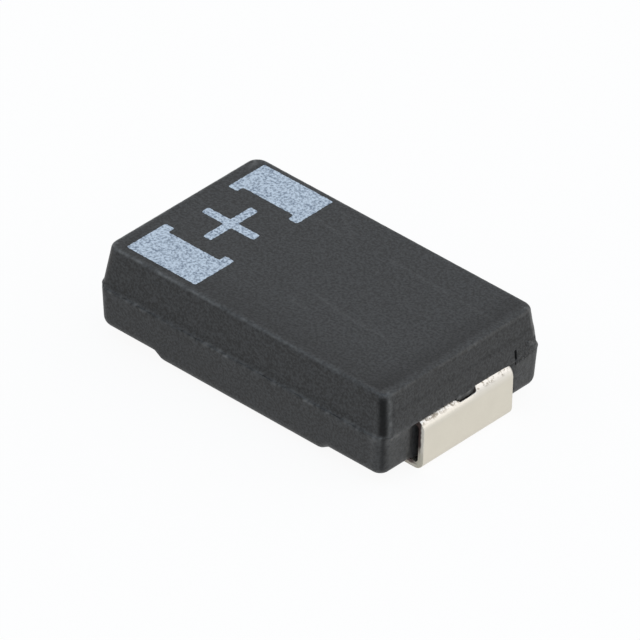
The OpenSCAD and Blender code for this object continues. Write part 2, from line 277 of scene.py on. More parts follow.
def moulded_epoxy():
    """Silica-filled epoxy with carbon black, from a spark-eroded mould: near black, matte and fine grained.
    Rubbed edges and scuffs are paler, and so are painted highlights along edges and the parting lip and
    painted light over the cathode end. Painted shade makes the skin darker and dims its reflection down the
    corners, along the mould's line, in the crack and towards the cathode end and near side of the top; there
    it is also less rough."""
    material, tree = start_material("moulded_epoxy")
    place = add(tree, "ShaderNodeTexCoord").outputs["Object"]
    # The real grain is about a hundredth of a millimetre across; this is as coarse as it needs to show
    grain = add(tree, "ShaderNodeTexNoise", {"Scale": per_mm(0.05), "Detail": 3, "Roughness": 0.65},
                {"Vector": place})
    body = add(tree, "ShaderNodeValToRGB", links={"Fac": grain.outputs["Fac"]},
               stops=((0.39, "#111212"), (0.61, "#363738")))
    nibbles = add(tree, "ShaderNodeTexNoise", {"Scale": per_mm(0.09), "Detail": 2}, {"Vector": place})
    broken = add(tree, "ShaderNodeMapRange", {"From Min": 0.4, "From Max": 0.62, "To Min": 0.5, "To Max": 1},
                 {"Value": nibbles.outputs["Fac"]})
    # Paler where rubbed and scuffed, and with painted highlights and painted light
    worn = add(tree, "ShaderNodeAttribute", attribute_name="worn")
    wear_and_highlight_mask = add(tree, "ShaderNodeMath", links={0: worn.outputs["Fac"], 1: broken.outputs["Result"]},
                 operation="MULTIPLY")
    wear_and_highlight_colour = add(tree, "ShaderNodeMix", {SECOND: linear("#656564")},
                {0: wear_and_highlight_mask.outputs[0], FIRST: body.outputs["Color"]}, data_type="RGBA")
    # Painted shade: darker colour and a dimmer reflection, where the skin is also less rough
    smooth = add(tree, "ShaderNodeAttribute", attribute_name="smooth")
    colour = add(tree, "ShaderNodeMix", {SECOND: linear("#0a0a0b")},
                 {0: smooth.outputs["Fac"], FIRST: wear_and_highlight_colour.outputs[MIXED]}, data_type="RGBA")
    shine = add(tree, "ShaderNodeMix", {FIRST: linear("#ffffff"), SECOND: linear("#747474")},
                {0: smooth.outputs["Fac"]}, data_type="RGBA")
    roughness = add(tree, "ShaderNodeMapRange", {"From Min": 0, "From Max": 1, "To Min": 0.52, "To Max": 0.4},
                    {"Value": smooth.outputs["Fac"]})
    bump = add(tree, "ShaderNodeBump", {"Strength": 0.7, "Distance": 0.008 * MM},
               {"Height": grain.outputs["Fac"]})
    surface = add(tree, "ShaderNodeBsdfPrincipled", {"IOR": 1.5, "Specular IOR Level": 0.35},
                  {"Base Color": colour.outputs[MIXED], "Specular Tint": shine.outputs[MIXED],
                   "Normal": bump.outputs["Normal"], "Roughness": roughness.outputs["Result"]})
    add(tree, "ShaderNodeOutputMaterial", links={"Surface": surface.outputs["BSDF"]})
    return material


def laser_marked_epoxy():
    """Epoxy whose skin a laser has turned pale: bluish grey, chalky, speckled by single pulses."""
    material, tree = start_material("laser_marked_epoxy")
    place = add(tree, "ShaderNodeTexCoord").outputs["Object"]
    # A pulse leaves a spot about as wide as this
    pulses = add(tree, "ShaderNodeTexNoise", {"Scale": per_mm(0.05), "Detail": 2, "Roughness": 0.7},
                 {"Vector": place})
    colour = add(tree, "ShaderNodeValToRGB", links={"Fac": pulses.outputs["Fac"]},
                 stops=((0.34, "#788494"), (0.58, "#d0dbe6")))
    bump = add(tree, "ShaderNodeBump", {"Strength": 0.6, "Distance": 0.005 * MM},
               {"Height": pulses.outputs["Fac"]})
    surface = add(tree, "ShaderNodeBsdfPrincipled", {"Roughness": 0.85, "IOR": 1.5},
                  {"Base Color": colour.outputs["Color"], "Normal": bump.outputs["Normal"]})
    add(tree, "ShaderNodeOutputMaterial", links={"Surface": surface.outputs["BSDF"]})
    return material


def matte_tin():
    """Electroplated matte tin on a nickel-iron strip: a soft silvery sheen with a warm tone.
    Over the upper bends the plating is stretched: whiter, and pitted where it is bent most."""
    material, tree = start_material("matte_tin_plate")
    place = add(tree, "ShaderNodeTexCoord").outputs["Object"]
    # The real crystals are a few thousandths of a millimetre across; this is as coarse as it needs to show
    grain = add(tree, "ShaderNodeTexNoise", {"Scale": per_mm(0.035), "Detail": 2}, {"Vector": place})
    cloud = add(tree, "ShaderNodeTexNoise", {"Scale": per_mm(0.35), "Detail": 3}, {"Vector": place})
    flat = add(tree, "ShaderNodeValToRGB", links={"Fac": cloud.outputs["Fac"]},
               stops=((0.3, "#d7d2c5"), (0.7, "#dad5c8")))
    bent = add(tree, "ShaderNodeAttribute", attribute_name="bent")
    sharpest = add(tree, "ShaderNodeMapRange", {"From Min": 0.65, "From Max": 0.95},
                   {"Value": bent.outputs["Fac"]})
    pits = add(tree, "ShaderNodeTexNoise", {"Scale": per_mm(0.11), "Detail": 3, "Roughness": 0.7},
               {"Vector": place})
    pitted = add(tree, "ShaderNodeMapRange", {"From Min": 0.5, "From Max": 0.62},
                 {"Value": pits.outputs["Fac"]})
    torn = add(tree, "ShaderNodeMath", links={0: pitted.outputs["Result"], 1: sharpest.outputs["Result"]},
               operation="MULTIPLY")
    stretched = add(tree, "ShaderNodeMix", {FIRST: linear("#cbc9c6"), SECOND: linear("#837d74")},
                    {0: torn.outputs[0]}, data_type="RGBA")
    colour = add(tree, "ShaderNodeMix", links={
        0: bent.outputs["Fac"], FIRST: flat.outputs["Color"], SECOND: stretched.outputs[MIXED]},
        data_type="RGBA")
    depth = add(tree, "ShaderNodeMath", links={0: pits.outputs["Fac"], 1: sharpest.outputs["Result"]},
                operation="MULTIPLY")
    craze = add(tree, "ShaderNodeBump", {"Strength": 0.6, "Distance": 0.012 * MM},
                {"Height": depth.outputs[0]})
    bump = add(tree, "ShaderNodeBump", {"Strength": 0.5, "Distance": 0.003 * MM},
               {"Height": grain.outputs["Fac"], "Normal": craze.outputs["Normal"]})
    surface = add(tree, "ShaderNodeBsdfPrincipled", {"Roughness": 0.48, "Metallic": 1.0},
                  {"Base Color": colour.outputs[MIXED], "Normal": bump.outputs["Normal"]})
    add(tree, "ShaderNodeOutputMaterial", links={"Surface": surface.outputs["BSDF"]})
    return material


def sheared_frame():
    """Edge of the plated strip after shearing: smeared tin along its outer side, painted near white to stand
    partly for the highlight on its rolled-over edge, brownish torn alloy inside, and tin pressed over all of
    it where the lower bend was formed."""
    material, tree = start_material("sheared_frame_edge")
    place = add(tree, "ShaderNodeTexCoord").outputs["Object"]
    axes = add(tree, "ShaderNodeSeparateXYZ", links={"Vector": place})
    out = add(tree, "ShaderNodeMath", links={0: axes.outputs["X"]}, operation="ABSOLUTE")
    from_end = add(tree, "ShaderNodeMath", {0: term_high.x * MM}, {1: out.outputs[0]}, operation="SUBTRACT")
    depth = add(tree, "ShaderNodeMath", links={0: from_end.outputs[0], 1: axes.outputs["Z"]},
                operation="MINIMUM")
    smear = add(tree, "ShaderNodeTexNoise", {"Scale": per_mm(0.1), "Detail": 3}, {"Vector": place})
    wander = add(tree, "ShaderNodeMath", {1: 0.05 * MM, 2: -0.025 * MM}, {0: smear.outputs["Fac"]},
                 operation="MULTIPLY_ADD")
    uneven = add(tree, "ShaderNodeMath", links={0: depth.outputs[0], 1: wander.outputs[0]}, operation="ADD")
    torn = add(tree, "ShaderNodeMapRange", {"From Min": 0.055 * MM, "From Max": 0.08 * MM},
               {"Value": uneven.outputs[0]})
    pressed = add(tree, "ShaderNodeAttribute", attribute_name="pressed")
    bare = add(tree, "ShaderNodeMath", links={0: torn.outputs["Result"], 1: pressed.outputs["Fac"]},
               operation="SUBTRACT", use_clamp=True)
    # Smeared and pressed tin: its own pale tone, painted brighter with the highlight of the rolled-over edge
    smeared_tin_highlight = add(tree, "ShaderNodeMix", {FIRST: linear("#fff6e6"), SECOND: linear("#e0d8c4")},
                  {0: pressed.outputs["Fac"]}, data_type="RGBA")
    colour = add(tree, "ShaderNodeMix", {SECOND: linear("#5c4c47")},
                 {0: bare.outputs[0], FIRST: smeared_tin_highlight.outputs[MIXED]}, data_type="RGBA")
    metallic = add(tree, "ShaderNodeMapRange", {"From Min": 0, "From Max": 1, "To Min": 0.05, "To Max": 0.15},
                   {"Value": bare.outputs[0]})
    surface = add(tree, "ShaderNodeBsdfPrincipled", {"Roughness": 0.55},
                  {"Base Color": colour.outputs[MIXED], "Metallic": metallic.outputs["Result"]})
    add(tree, "ShaderNodeOutputMaterial", links={"Surface": surface.outputs["BSDF"]})
    return material


def grained(name, dark, light, grain_mm, roughness, metallic=0.0, depth_mm=0.003):
    """Finish with a fine grain between two tones, for a piece inside the case."""
    material, tree = start_material(name)
    place = add(tree, "ShaderNodeTexCoord").outputs["Object"]
    grain = add(tree, "ShaderNodeTexNoise", {"Scale": per_mm(grain_mm), "Detail": 3}, {"Vector": place})
    colour = add(tree, "ShaderNodeValToRGB", links={"Fac": grain.outputs["Fac"]},
                 stops=((0, dark), (1, light)))
    bump = add(tree, "ShaderNodeBump", {"Strength": 0.5, "Distance": depth_mm * MM},
               {"Height": grain.outputs["Fac"]})
    surface = add(tree, "ShaderNodeBsdfPrincipled", {"Roughness": roughness, "Metallic": metallic},
                  {"Base Color": colour.outputs["Color"], "Normal": bump.outputs["Normal"]})
    add(tree, "ShaderNodeOutputMaterial", links={"Surface": surface.outputs["BSDF"]})
    return material


# ---------------------------------------------------------------- making a mesh

def piece_from(name, points, faces, slot, *nodes, **shares):
    """Mesh piece from points in millimetres, in place of the CAD nodes that it stands for.
    Each of shares is a value from 0 to 1 for every point, which the material reads."""
    mesh = bpy.data.meshes.new(name)
    mesh.from_pydata([Vector(p) * MM for p in points], [], faces)
    for label, values in shares.items():
        mesh.attributes.new(label, "FLOAT", "POINT").data.foreach_set("value", values)
    shape = bmesh.new()
    shape.from_mesh(mesh)
    bmesh.ops.recalc_face_normals(shape, faces=shape.faces)
    shape.to_mesh(mesh)
    shape.free()
    piece = bpy.data.objects.new(name, mesh)
    bpy.context.scene.collection.objects.link(piece)
    mesh.shade_smooth()
    mesh.set_sharp_from_angle(angle=math.radians(38))
    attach(piece, "root")
    if nodes:
        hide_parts(*nodes)
    return piece


def grid_faces(wide, high):
    """Faces of a grid that has so many points in each row, and so many rows."""
    return [(j * wide + i, j * wide + i + 1, (j + 1) * wide + i + 1, (j + 1) * wide + i)
            for j in range(high - 1) for i in range(wide - 1)]


# ---------------------------------------------------------------- the moulded case: rings

CORNER_STEPS = 16
TOP_COLUMNS = 90

# Points along a side of a ring: how far out its middle keeps still, their spacing there, and how many more
# follow the draft out to each corner
LONG_SIDE = {"still": 2.3, "step": 0.05, "outer": 19}
SHORT_SIDE = {"still": 1.45, "step": 0.03, "outer": 13}

# Lip of the parting line, with its foot this far under the line. The lower half curls in: depth under the
# line, and how far in. The upper half stands out: rise over it, and how far out at the ends and the sides.
LIP_FOOT = 0.045
LOWER_LIP = ((0.018, 0.003), (0, 0.016))
UPPER_LIP = ((0.008, 0.006, 0.03), (0.035, 0.002, 0.006))

# How far over the rim of the top a ring counts as, in degrees, while it is on the walls, and on the flat; and
# how wide the flat's own rim is
ON_WALLS = -180
PAST_RIM = 110
FLAT_RIM = 0.03


def side_stations(reach, still, step, outer):
    """Places along one side: an even row in the middle that keeps still, and ends that follow the draft."""
    count = round(2 * still / step)
    middle = [still * (2 * i / count - 1) for i in range(count + 1)]
    ends = even(still, reach, outer)
    return [-t for t in reversed(ends)] + middle + ends


def ring_outline(half_x, half_y, radius, z):
    """One ring of the case, counted round from the cathode end."""
    along = side_stations(half_x - radius, **LONG_SIDE)
    across = side_stations(half_y - radius, **SHORT_SIDE)
    sides = [
        [(half_x, y) for y in across],
        [(x, half_y) for x in reversed(along)],
        [(-half_x, y) for y in reversed(across)],
        [(x, -half_y) for x in along],
    ]
    ring = []
    for quarter, side in enumerate(sides):
        ring += side
        centre_x = (half_x - radius) * (1 if quarter in (0, 3) else -1)
        centre_y = (half_y - radius) * (1 if quarter in (0, 1) else -1)
        for turn in quarter_turn(CORNER_STEPS)[1:-1]:
            turn += quarter * math.pi / 2
            ring.append((centre_x + radius * math.cos(turn), centre_y + radius * math.sin(turn)))
    return [Vector((x, y, z)) for x, y in ring]


def lower_ring(z, inset=0.0):
    """Ring of the lower half, drawn in by the draft of its walls and by the inset."""
    away = PARTING_Z - z
    return ring_outline(LOWER_X - away * math.tan(LOWER_END_DRAFT) - inset,
                        LOWER_Y - away * math.tan(LOWER_SIDE_DRAFT) - inset, CORNER_R - inset, z)


def upper_ring(z, inset=0.0):
    """Ring of the upper half, drawn in by the draft of its walls and by the inset."""
    away = z - PARTING_Z
    return ring_outline(UPPER_X - away * math.tan(UPPER_END_DRAFT) - inset,
                        UPPER_Y - away * math.tan(UPPER_SIDE_DRAFT) - inset, CORNER_R - inset, z)


def case_rings():
    """Rings from the rim of the underside, over the lip of the parting line, to the flat of the top.
    Each comes with how far it has turned over the rim of the top, in degrees."""
    base = RELIEF_Z + BASE_R
    shoulder = CASE_TOP - TOP_R
    lip_top = PARTING_Z + UPPER_LIP[-1][0]
    walls = [lower_ring(base - BASE_R * math.cos(t), BASE_R * (1 - math.sin(t))) for t in quarter_turn(8)]
    walls += [lower_ring(z) for z in even(base, PARTING_Z - LIP_FOOT, 16)]
    walls += [lower_ring(PARTING_Z - depth, inset) for depth, inset in LOWER_LIP]
    walls += [ring_outline(UPPER_X + at_ends, UPPER_Y + at_sides, CORNER_R, PARTING_Z + rise)
              for rise, at_ends, at_sides in UPPER_LIP]
    walls += [upper_ring(z) for z in even(lip_top, shoulder, 32)]
    rings = [(wall, ON_WALLS) for wall in walls]
    for turn in quarter_turn(7)[1:]:
        ring = upper_ring(shoulder + TOP_R * math.sin(turn), TOP_R * (1 - math.cos(turn)))
        rings.append((ring, math.degrees(turn)))
    rings.append((upper_ring(CASE_TOP, TOP_R + FLAT_RIM), PAST_RIM))
    return rings


def corner_turns(long_count, short_count):
    """For every point of a ring, how far its corner has turned from the end face, in degrees, or None between
    the corners."""
    turns = []
    for quarter, count in enumerate((short_count, long_count, short_count, long_count)):
        turns += [None] * count
        rising = [90 * i / CORNER_STEPS for i in range(1, CORNER_STEPS)]
        turns += rising if quarter in (0, 2) else rising[::-1]
    return turns


# ---------------------------------------------------------------- the moulded case: wear, painted highlight and painted shade

# Farther out along X than this is the cathode end
CATHODE_END_X = 3.2

# Bands down each corner: their middle and width, in degrees round from the end face. A band of painted
# highlight runs beside a band of painted shade, where the skin is also less rough.
UPPER_HIGHLIGHT, UPPER_SHADE = (27, 11), (58, 18)
LOWER_HIGHLIGHT, LOWER_SHADE = (8, 12), (39, 12)

# Bands of rubbing and painted highlight along the rim of the top: their middle and width, in degrees over it
END_RIM, SIDE_RIM = (40, 30), (58, 26)
END_RIM_LEN = 0.3

# Spot of painted highlight on a corner of the rim, and stretch of painted highlight along the parting line by
# a corner
RIM_SPOT_X, RIM_SPOT_Y, RIM_SPOT_WID = 3.33, -1.86, 0.1
LIT_LIP_Y, LIT_LIP_LEN = -1.8, 0.45

# Where a tooth of flash stands out of the parting line: x and y. Each is wider along X than along Y.
FLASH_TEETH = ((3.464, -1.33), (3.464, -1.72), (3.464, -1.86), (3.44, 2.02), (-3.4, -2.1))
TOOTH_WID, TOOTH_SQUEEZE = 0.04, 0.4

# Line across the cathode end, where an insert of the mould meets the rest
WITNESS_Z = 1.503
# Painted shade along that line: its middle and width
WITNESS_SHADE = (WITNESS_Z + 0.008, 0.033)

# Crack down one edge of the gate's scar
CRACK_X, CRACK_Y, CRACK_WID, CRACK_DEEP = 3.35, 1.39, 0.04, 0.1
CRACK_Z = (PARTING_Z + 0.02, 1.29)

# Scuffs on the top from handling in a feeder, mostly along the case: x and y of both ends
SCUFFS = (
    (-1.29, 1.26, -0.57, 1.22), (-1.05, 1.75, -0.39, 1.27), (0.59, 1.25, 2.05, 1.17), (2.3, 1.16, 3.1, 1.15),
    (0.33, -0.5, 1.21, -0.62), (1.0, -0.6, 2.3, -0.64), (0.62, 0.83, 0.68, 0.81), (0.15, -0.93, 0.5, -0.95),
)
SCUFF_WID = 0.035


def corner_highlight_and_shade(turn, z):
    """Painted highlight and painted shade down a corner of the case. The upright ridge beside each end face
    gets a pale painted highlight, and the rest of the corner dark painted shade and a dimmer reflection, with
    less roughness."""
    if turn is None or z < RELIEF_Z + 0.05:
        return 0, 0
    if z > PARTING_Z + 0.01:
        fade = share((CASE_TOP - 0.02 - z) / 0.1) * share((z - PARTING_Z) / 0.06)
        return bell(turn, *UPPER_HIGHLIGHT), min(0.8, bell(turn, *UPPER_SHADE)) * fade
    return 0.35 * bell(turn, *LOWER_HIGHLIGHT), 0.6 * bell(turn, *LOWER_SHADE)


def rim_wear_and_highlight(point, over):
    """The rim of the top is rubbed in patches and carries a painted highlight, most of all at the anode end
    of its sides.
    On the cathode end both grow towards the far side, with a painted highlight spot at its near corner.
    """
    patches = min(1.6, max(0.3, 1 + 1.5 * unevenness(point, 0.15, 12)))
    if point.x > UPPER_X - END_RIM_LEN:
        spot_highlight = 0.6 * bell(math.hypot(point.x - RIM_SPOT_X, point.y - RIM_SPOT_Y), 0, RIM_SPOT_WID)
        return bell(over, *END_RIM) * (patches * (0.27 + 0.03 * point.y) + spot_highlight)
    return bell(over, *SIDE_RIM) * patches * (0.44 - 0.07 * point.x)


def tooth_at(point):
    """1 on a tooth of flash and 0 away from it."""
    return max(bell(math.hypot(TOOTH_SQUEEZE * (point.x - x), point.y - y), 0, TOOTH_WID)
               for x, y in FLASH_TEETH)


def lip_and_end_painted_light(point):
    """Painted highlight in dashes along the torn lip of the parting line, on its teeth of flash and by one
    corner of the cathode end. Painted light makes that end paler than elsewhere, a little above the line,
    more below it and most behind the strap."""
    above = point.z - PARTING_Z
    dashes = max(0, 0.6 + 2.6 * unevenness(point, 0.09, 13))
    line = 0.46 * bell(above, -0.006, 0.036) * dashes + bell(above, 0, 0.03) * tooth_at(point)
    if point.x < CATHODE_END_X:
        return line
    corner = 0.45 * bell(above, -0.03, 0.11) * bell(point.y, LIT_LIP_Y, LIT_LIP_LEN)
    if above > 0:
        return line + corner + 0.07
    # Painted light in the shaded pocket behind the strap
    pocket_fill_light = 0.3 if abs(point.y) < POCKET_FLOOR_Y else 0
    return line + corner + 0.27 + 0.02 * point.y + pocket_fill_light


def in_crack(point):
    """Whether the point is in the crack down the edge of the gate's scar."""
    bottom, top = CRACK_Z
    return point.x > CRACK_X and abs(point.y - CRACK_Y) < CRACK_WID / 2 and bottom < point.z < top


def skin_smoothness(point, corner_shade_band):
    """Painted shade on the walls, where they are also less rough: a little along the line of the mould's
    insert, and fully in the crack, which is in deep shade."""
    if in_crack(point):
        return 1
    line = 0.17 * bell(point.z, *WITNESS_SHADE) if point.x > CATHODE_END_X else 0
    return max(corner_shade_band, line)


def top_smoothness(point):
    """Painted shade over the flat of the top, where it is also less rough, towards its cathode end and its
    near side.
    """
    return 0.4 * share((point.x - 2.7) / 0.5) + 0.3 * share((-1.1 - point.y) / 0.8)


def scuff(point):
    """How scuffed the top is here."""
    most = 0
    for x0, y0, x1, y1 in SCUFFS:
        run = Vector((x1 - x0, y1 - y0))
        along = share(Vector((point.x - x0, point.y - y0)).dot(run) / run.length_squared)
        off = (Vector((x0, y0)) + along * run - point.xy).length
        most = max(most, bell(off, 0, SCUFF_WID))
    return most * (0.18 + 0.12 * unevenness(point, 0.12, 11))


# ---------------------------------------------------------------- the moulded case: its shape

# How far under the parting line the pad has faded out of the side walls
PAD_FADED = 0.1

# Farther out along X than this is an end of the lower half
LOWER_END_X = 3

# Skin of flash that fills each strap's notch: how deep it reaches under the parting line, and its two edges,
# above and below a step. A wider block stands in the pocket, to a little under the middle of the bend.
PLUG_DEEP, PLUG_STEP = 0.12, 0.06
PLUG_UPPER_Y, PLUG_LOWER_Y = (-0.25, 0.28), (-0.17, 0.25)
PLUG_BLOCK_Y, PLUG_BLOCK_DEEP = 0.5, 0.05

# Flash squeezed out at the parting line: how far it rises, and its spread as a share of the case
FLASH_RISE, FLASH_SPREAD = 0.02, 0.0015

# Step that the mould's insert left across the cathode end, and how high it is spread
WITNESS_STEP, WITNESS_SPREAD = 0.012, 0.09

# How wavy the walls are, and how deep the rim of the top is nibbled
WALL_WAVE = 0.002
RIM_NIBBLE = 0.006


def lower_pad(point):
    """The pad under the middle, with a slope at each end, fades out up the side walls."""
    base = RELIEF_Z + BASE_R
    faded = PARTING_Z - PAD_FADED
    along = share((PAD_ROOT_X - abs(point.x)) / (PAD_ROOT_X - PAD_FACE_X))
    point.z -= (RELIEF_Z - PAD_Z) * along * share((faded - point.z) / (faded - base))


def sink_pocket(point):
    """The strap runs down in front of a pocket in the end of the lower half. Flash fills its notch."""
    if point.z > PARTING_Z + 0.001 or abs(point.x) < LOWER_END_X or abs(point.y) > POCKET_MOUTH_Y:
        return
    up_flank = max(0, abs(point.y) - POCKET_MOUTH_Y + POCKET_SLOPE) / POCKET_SLOPE
    up_flank *= up_flank * (3 - 2 * up_flank)
    wall = POCKET_X + up_flank * (abs(point.x) - POCKET_X)
    near, far = PLUG_LOWER_Y if point.z < PARTING_Z - PLUG_STEP else PLUG_UPPER_Y
    if near < point.y < far and point.z > PARTING_Z - PLUG_DEEP:
        wall = UPPER_X + 0.01
    elif abs(point.y) < PLUG_BLOCK_Y and point.z > BEND_Z - PLUG_BLOCK_DEEP:
        wall = LOWER_X - 0.01
    point.x = math.copysign(wall, point.x)


def press_witness(point):
    """Small step across the cathode end, where an insert of the mould meets the rest."""
    if point.x > CATHODE_END_X and point.z > PARTING_Z:
        risen = share((point.z - PARTING_Z) / (WITNESS_Z - PARTING_Z))
        point.x += WITNESS_STEP * risen * share((WITNESS_Z + WITNESS_SPREAD / 2 - point.z) / WITNESS_SPREAD)


def crack_gate(point):
    """Crack down the edge of the gate's scar."""
    if in_crack(point):
        point.x -= CRACK_DEEP


def make_uneven(point):
    """Moulded walls are never quite flat, and their edges are slightly nibbled."""
    point += Vector((unevenness(point, 0.5, 2), unevenness(point, 0.5, 3), 0)) * WALL_WAVE
    on_rim = bell(point.z, CASE_TOP - TOP_R / 2, 0.04)
    point.z -= RIM_NIBBLE * on_rim * max(0, unevenness(point, 0.07, 4))


def raise_flash(point):
    """Thin torn skin of compound that the halves of the mould squeezed out between them."""
    if abs(point.z - PARTING_Z) < 0.002:
        torn = max(0, unevenness(point, 0.09)) + 0.5 * max(0, unevenness(point, 0.4, 1))
        torn += 1.2 * tooth_at(point)
        point.z += FLASH_RISE * torn
        point.xy *= 1 + FLASH_SPREAD * torn


def case_faces(levels, around, long_count, short_count, points):
    """Walls between the rings, a ladder and two ends underneath, and the top with its own rows of points."""
    faces = [
        (low * around + i, low * around + (i + 1) % around,
         (low + 1) * around + (i + 1) % around, (low + 1) * around + i)
        for low in range(levels - 1) for i in range(around)
    ]
    corner = CORNER_STEPS - 1
    far_start = short_count + corner
    near_start = far_start + long_count + corner + short_count + corner
    far_side = list(range(far_start, far_start + long_count))
    near_side = list(range(near_start + long_count - 1, near_start - 1, -1))
    for i in range(long_count - 1):
        faces.append((far_side[i], far_side[i + 1], near_side[i + 1], near_side[i]))
    faces.append(tuple(range(near_side[0], around)) + tuple(range(far_side[0] + 1)))
    faces.append(tuple(range(far_side[-1], near_side[-1] + 1)))

    rim = (levels - 1) * around
    rows = []
    for far, near in zip(far_side, near_side):
        first, last = points[rim + far], points[rim + near]
        inner = list(range(len(points), len(points) + TOP_COLUMNS - 1))
        points += [first.lerp(last, i / TOP_COLUMNS) for i in range(1, TOP_COLUMNS)]
        rows.append([rim + far] + inner + [rim + near])
    for here, there in zip(rows, rows[1:]):
        faces += [(here[i], here[i + 1], there[i + 1], there[i]) for i in range(TOP_COLUMNS)]
    faces.append(tuple(rim + i for i in range(near_side[0] + 1, around))
                 + tuple(rim + i for i in range(far_side[0])) + tuple(rows[0]))
    faces.append(tuple(rim + i for i in range(far_side[-1] + 1, near_side[-1])) + tuple(reversed(rows[-1])))
    return faces


def mould_case():
    """Skin of the case. Its wear, painted highlight and painted shade are worked out on the true form, before
    that is made uneven.
    """
    long_count, short_count = (len(side_stations(side["still"], **side)) for side in (LONG_SIDE, SHORT_SIDE))
    turns = corner_turns(long_count, short_count)
    points, worn, smooth = [], [], []
    for ring, over in case_rings():
        for point, turn in zip(ring, turns):
            # Corners get a painted highlight and painted shade; the shares below hold wear with painted
            # light, and painted shade
            ridge_highlight, corner_shade_band = corner_highlight_and_shade(turn, point.z)
            points.append(point)
            worn.append(min(1, max(rim_wear_and_highlight(point, over), ridge_highlight, lip_and_end_painted_light(point))))
            smooth.append(skin_smoothness(point, corner_shade_band))
    around = len(turns)
    for shape in (lower_pad, sink_pocket, press_witness, crack_gate, make_uneven, raise_flash):
        for point in points:
            shape(point)
    faces = case_faces(len(points) // around, around, long_count, short_count, points)
    # Points of the top: scuffs, and painted shade towards its cathode end and near side
    for point in points[len(worn):]:
        worn.append(scuff(point))
        smooth.append(top_smoothness(point))
    return piece_from("case_skin", points, faces, "epoxy", "moulded_case", worn=worn, smooth=smooth)


# ---------------------------------------------------------------- the gate's scar

GATE_Y, GATE_Z = (1.415, 1.96), (0.95, 1.33)
SCAR_COLUMNS, SCAR_ROWS = 80, 50

# The scar stands out, its ragged edge fades into the wall, and its rim is buried
SCAR_OUT, SCAR_SUNK, SCAR_RIM_SUNK = 0.02, 0.01, 0.03
SCAR_RAGGED = 0.05
SCAR_PALE_Y = 1.85


def break_gate():
    """Rough face left where the runner was snapped off the cathode end."""
    near, far = GATE_Y
    bottom, top = GATE_Z
    points, worn = [], []
    for j in range(SCAR_ROWS + 1):
        z = bottom + (top - bottom) * j / SCAR_ROWS
        wall = UPPER_X - (z - PARTING_Z) * math.tan(UPPER_END_DRAFT) if z > PARTING_Z else LOWER_X + 0.01
        for i in range(SCAR_COLUMNS + 1):
            y = near + (far - near) * i / SCAR_COLUMNS
            off_rim = min(y - near, far - y, z - bottom, top - z)
            inside = share((off_rim + SCAR_RAGGED * unevenness((0, y, z), 0.12, 5)) / SCAR_RAGGED)
            rough = 0.036 * unevenness((0, y, z), 0.1, 6) + 0.02 * unevenness((0, y, z), 0.035, 7)
            at_rim = i in (0, SCAR_COLUMNS) or j in (0, SCAR_ROWS)
            out = -SCAR_RIM_SUNK if at_rim else inside * (SCAR_OUT + rough) - SCAR_SUNK
            points.append((wall + out, y, z))
            worn.append(min(1, max(0, rough * 15) + 0.3 * bell(y, SCAR_PALE_Y, 0.12)) * inside)
    faces = grid_faces(SCAR_COLUMNS + 1, SCAR_ROWS + 1)
    return piece_from("gate_scar", points, faces, "epoxy", worn=worn)


# ---------------------------------------------------------------- the polarity mark

# Both blocks have the same ends. Each has an inner edge, an outer edge, and serifs that reach further in.
BLOCK_X = (-3.11, -1.41)
FAR_BLOCK_Y = (1.06, 1.875, 0.9)
NEAR_BLOCK_Y = (-0.94, -1.81, -0.775)
SERIF_WID = 0.22
PLUS_X, PLUS_Y, PLUS_LEN, PLUS_WID = -2.265, 0.053, 1.28, 0.19

# The laser leaves the mark a trace proud of the top, and its outline ragged
MARK_PROUD, MARK_SUNK = 0.002, 0.01
OUTLINE_STEP = 0.025
RAGGED_DEEP, RAGGED_LEN = 0.014, 0.045


def block_corners(inner, outer, serif):
    """A block with a serif at each end of its inner edge."""
    low, high = BLOCK_X
    return [(low, outer), (low, serif), (low + SERIF_WID, serif), (low + SERIF_WID, inner),
            (high - SERIF_WID, inner), (high - SERIF_WID, serif), (high, serif), (high, outer)]


def plus_corners():
    """The plus, a quarter turn at a time."""
    long, slim = PLUS_LEN / 2, PLUS_WID / 2
    quarter = [(slim, slim), (slim, long), (-slim, long)]
    corners = []
    for _ in range(4):
        corners += [(PLUS_X + x, PLUS_Y + y) for x, y in quarter]
        quarter = [(-y, x) for x, y in quarter]
    return corners


def ragged(corners):
    """The same outline with softened corners and the ragged edge that a pulsed laser leaves."""
    outline = []
    for (x0, y0), (x1, y1) in zip(corners, corners[1:] + corners[:1]):
        length = math.hypot(x1 - x0, y1 - y0)
        count = max(2, round(length / OUTLINE_STEP))
        outline += [(x0 + (x1 - x0) * i / count, y0 + (y1 - y0) * i / count) for i in range(count)]
    for _ in range(2):
        outline = [tuple((a + 2 * b + c) / 4 for a, b, c in zip(before, here, after))
                   for before, here, after in zip(outline[-1:] + outline, outline, outline[1:] + outline[:1])]
    return [(x + RAGGED_DEEP * unevenness((x, y, 0), RAGGED_LEN, 8),
             y + RAGGED_DEEP * unevenness((x, y, 0), RAGGED_LEN, 9)) for x, y in outline]


def burn_mark():
    """Skin of the plus and of both blocks."""
    points, faces = [], []
    for corners in (block_corners(*FAR_BLOCK_Y), block_corners(*NEAR_BLOCK_Y), plus_corners()):
        outline = ragged(corners)
        count, start = len(outline), len(points)
        points += [(x, y, z) for z in (CASE_TOP - MARK_SUNK, CASE_TOP + MARK_PROUD) for x, y in outline]
        faces += [(start + i, start + (i + 1) % count, start + count + (i + 1) % count, start + count + i)
                  for i in range(count)]
        faces += [tuple(range(start, start + count)), tuple(range(start + count, start + 2 * count))]
    return piece_from("laser_mark_skin", points, faces, "laser_mark", "polarity_mark")


# ---------------------------------------------------------------- the terminals

# Tray and offset of the cathode's strip, and tab of the anode's
OFFSET_TURN = math.radians(50)
EXIT_FLAT = 0.13
TRAY_R = 0.3
TAB_WID = 1.2
SHOULDER = 0.25

